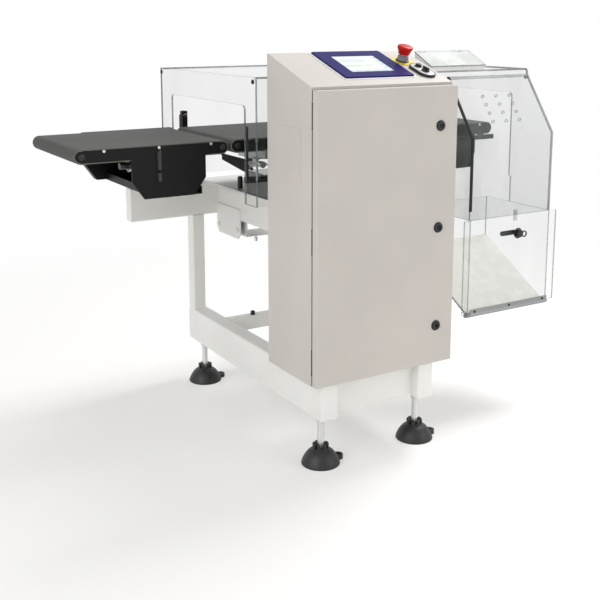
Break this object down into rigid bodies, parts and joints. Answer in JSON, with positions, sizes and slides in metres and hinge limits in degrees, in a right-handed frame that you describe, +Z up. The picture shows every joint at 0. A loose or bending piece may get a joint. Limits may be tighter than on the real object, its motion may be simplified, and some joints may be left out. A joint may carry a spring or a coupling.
{
  "type": "checkweigher",
  "caption": "In-line checkweigher with a control cabinet, sloped operator panel, belt conveyors, clear tunnel guard, reject hood with bin, and levelling feet.",
  "frame": {"origin": "middle of the overall footprint at floor level", "axes": "+X along the product flow, +Y from the operator's door to the back, +Z up"},
  "size_m": [1.3779, 0.843, 1.0554],
  "materials": {
    "white_paint": "satin white powder coat",
    "cabinet_paint": "textured warm grey powder coat",
    "black_rubber": "matt black foam rubber",
    "zinc_steel": "bright zinc plated",
    "dark_steel": "dark grey satin",
    "housing_grey": "glossy dark grey",
    "black_plastic": "matt black",
    "black_paint": "satin black",
    "bezel_blue": "glossy dark blue",
    "screen_glass": "pale lit screen",
    "signal_yellow": "glossy yellow",
    "signal_red": "glossy red",
    "collar_grey": "matt grey",
    "belt_dark": "finely woven dark grey belting",
    "aluminium": "anodised",
    "steel_roller": "turned steel",
    "clear_sheet": "clear acrylic sheet",
    "white_plastic": "matt white",
    "grey_case": "matt light grey cases"
  },
  "bodies": {
    "machine": {"base_frame": "white_paint", "upper_frame": "white_paint", "bed_plate": "white_paint", "foot_pads": "black_plastic", "under_bracket": "zinc_steel", "support_brackets": "white_paint", "bright_fasteners": "zinc_steel", "cabinet_body": "cabinet_paint", "door_gasket": "black_rubber", "door_hinges_fixed": "zinc_steel", "mounting_plate": "zinc_steel", "control_gear": "grey_case", "cable_glands": "black_plastic", "hmi_bezel": "bezel_blue", "hmi_screen": "screen_glass", "estop_plate": "signal_yellow", "estop_collar": "collar_grey", "switch_plate": "black_plastic", "conveyor_frames": "black_paint", "conveyor_belts": "belt_dark", "drive_covers": "black_paint", "gearmotors": "dark_steel", "timing_belts": "black_rubber", "weigh_housing": "housing_grey", "load_cell": "aluminium", "weigh_platform": "aluminium", "sensor_stand": "black_paint", "sensor_clamps": "zinc_steel", "guard_ends": "clear_sheet", "guard_panels": "clear_sheet", "reject_hood": "clear_sheet", "hood_fittings": "white_plastic", "bin_walls": "clear_sheet", "bin_floor": "white_plastic", "bin_hinge_bar": "aluminium", "diverter_actuator": "aluminium"},
    "door": {"cabinet_door": "cabinet_paint", "door_hinges_moving": "zinc_steel", "lock_housings": "black_plastic"},
    "lock_top": {"lock_cam_top": "dark_steel"},
    "lock_middle": {"lock_cam_middle": "dark_steel"},
    "lock_bottom": {"lock_cam_bottom": "dark_steel"},
    "stop_plunger": {"estop_plunger": "zinc_steel"},
    "stop_head": {"estop_head": "signal_red"},
    "button": {"push_button": "black_plastic"},
    "selector": {"selector_knob": "black_plastic"},
    "infeed_drive": {"infeed_drive_roller": "steel_roller"},
    "infeed_idler": {"infeed_idler_roller": "steel_roller"},
    "infeed_shaft": {"infeed_motor_shaft": "steel_roller"},
    "weigh_drive": {"weigh_drive_roller": "steel_roller"},
    "weigh_idler": {"weigh_idler_roller": "steel_roller"},
    "outfeed_drive": {"outfeed_drive_roller": "steel_roller"},
    "outfeed_idler": {"outfeed_idler_roller": "steel_roller"},
    "outfeed_shaft": {"outfeed_motor_shaft": "steel_roller"},
    "lever": {"clamp_lever": "zinc_steel"},
    "lid": {"hood_lid": "clear_sheet"},
    "bin_front": {"bin_door": "clear_sheet", "bin_door_rail": "aluminium"},
    "bin_latch": {"bin_lock": "black_plastic"},
    "diverter": {"diverter_arm": "white_plastic"}
  },
  "joints": [
    {"name": "door_hinge", "type": "hinge", "parent": "machine", "child": "door", "pos_m": [-0.221, -0.394, 0.5925], "axis": [0, 0, -1], "range_deg": [0, 110]},
    {"name": "lock_bottom_turn", "type": "hinge", "parent": "door", "child": "lock_bottom", "pos_m": [0.144, -0.4165, 0.332], "axis": [0, -1, 0], "range_deg": [0, 90]},
    {"name": "lock_middle_turn", "type": "hinge", "parent": "door", "child": "lock_middle", "pos_m": [0.144, -0.4165, 0.5935], "axis": [0, -1, 0], "range_deg": [0, 90]},
    {"name": "lock_top_turn", "type": "hinge", "parent": "door", "child": "lock_top", "pos_m": [0.144, -0.4165, 0.855], "axis": [0, -1, 0], "range_deg": [0, 90]},
    {"name": "stop_press", "type": "slide", "parent": "machine", "child": "stop_plunger", "axis": [0, 0.3282, -0.9446], "range_m": [0, 0.0045], "stiffness_N_per_m": 900, "springref_m": -0.003},
    {"name": "stop_twist", "type": "hinge", "parent": "stop_plunger", "child": "stop_head", "pos_m": [0.142, -0.25408, 1.01133], "axis": [0, 0.3282, -0.9446], "range_deg": [0, 45], "stiffness_Nm_per_rad": 0.02},
    {"name": "button_press", "type": "slide", "parent": "machine", "child": "button", "axis": [0, 0.3282, -0.9446], "range_m": [0, 0.003], "stiffness_N_per_m": 500, "springref_m": -0.002},
    {"name": "selector_turn", "type": "hinge", "parent": "machine", "child": "selector", "pos_m": [0.154, -0.33482, 0.98169], "axis": [0, 0.3282, -0.9446], "range_deg": [0, 90]},
    {"name": "infeed_drive_turn", "type": "hinge", "parent": "machine", "child": "infeed_drive", "pos_m": [-0.293, 0.1135, 0.79], "axis": [0, 1, 0], "continuous": true},
    {"name": "infeed_idler_turn", "type": "hinge", "parent": "machine", "child": "infeed_idler", "pos_m": [-0.671, 0.1135, 0.79], "axis": [0, 1, 0], "continuous": true},
    {"name": "infeed_shaft_turn", "type": "hinge", "parent": "machine", "child": "infeed_shaft", "pos_m": [-0.419, 0.1135, 0.707], "axis": [0, 1, 0], "continuous": true},
    {"name": "weigh_drive_turn", "type": "hinge", "parent": "machine", "child": "weigh_drive", "pos_m": [0.195, 0.1135, 0.79], "axis": [0, 1, 0], "continuous": true},
    {"name": "weigh_idler_turn", "type": "hinge", "parent": "machine", "child": "weigh_idler", "pos_m": [-0.249, 0.1135, 0.79], "axis": [0, 1, 0], "continuous": true},
    {"name": "outfeed_drive_turn", "type": "hinge", "parent": "machine", "child": "outfeed_drive", "pos_m": [0.617, 0.1135, 0.79], "axis": [0, 1, 0], "continuous": true},
    {"name": "outfeed_idler_turn", "type": "hinge", "parent": "machine", "child": "outfeed_idler", "pos_m": [0.239, 0.1135, 0.79], "axis": [0, 1, 0], "continuous": true},
    {"name": "outfeed_shaft_turn", "type": "hinge", "parent": "machine", "child": "outfeed_shaft", "pos_m": [0.491, 0.1135, 0.707], "axis": [0, 1, 0], "continuous": true},
    {"name": "lever_swing", "type": "hinge", "parent": "machine", "child": "lever", "pos_m": [-0.21, -0.0865, 0.756], "axis": [0, 1, 0], "range_deg": [-60, 60]},
    {"name": "lid_hinge", "type": "hinge", "parent": "machine", "child": "lid", "pos_m": [0.4005, -0.0955, 1.028], "axis": [-1, 0, 0], "range_deg": [0, 75]},
    {"name": "bin_door_hinge", "type": "hinge", "parent": "machine", "child": "bin_front", "pos_m": [0.538, -0.294, 0.29], "axis": [1, 0, 0], "range_deg": [0, 90]},
    {"name": "bin_lock_turn", "type": "hinge", "parent": "bin_front", "child": "bin_latch", "pos_m": [0.538, -0.2915, 0.511], "axis": [0, 1, 0], "range_deg": [0, 90]},
    {"name": "diverter_swing", "type": "hinge", "parent": "machine", "child": "diverter", "pos_m": [0.333, 0.3205, 0.808], "axis": [0, 0, -1], "range_deg": [0, 50]}
  ],
  "couplings": [
    {"joint": "weigh_idler_turn", "follows": "weigh_drive_turn", "ratio": 1},
    {"joint": "infeed_idler_turn", "follows": "infeed_drive_turn", "ratio": 1},
    {"joint": "infeed_shaft_turn", "follows": "infeed_drive_turn", "ratio": 1.2},
    {"joint": "outfeed_idler_turn", "follows": "outfeed_drive_turn", "ratio": 1},
    {"joint": "outfeed_shaft_turn", "follows": "outfeed_drive_turn", "ratio": 1.2}
  ]
}
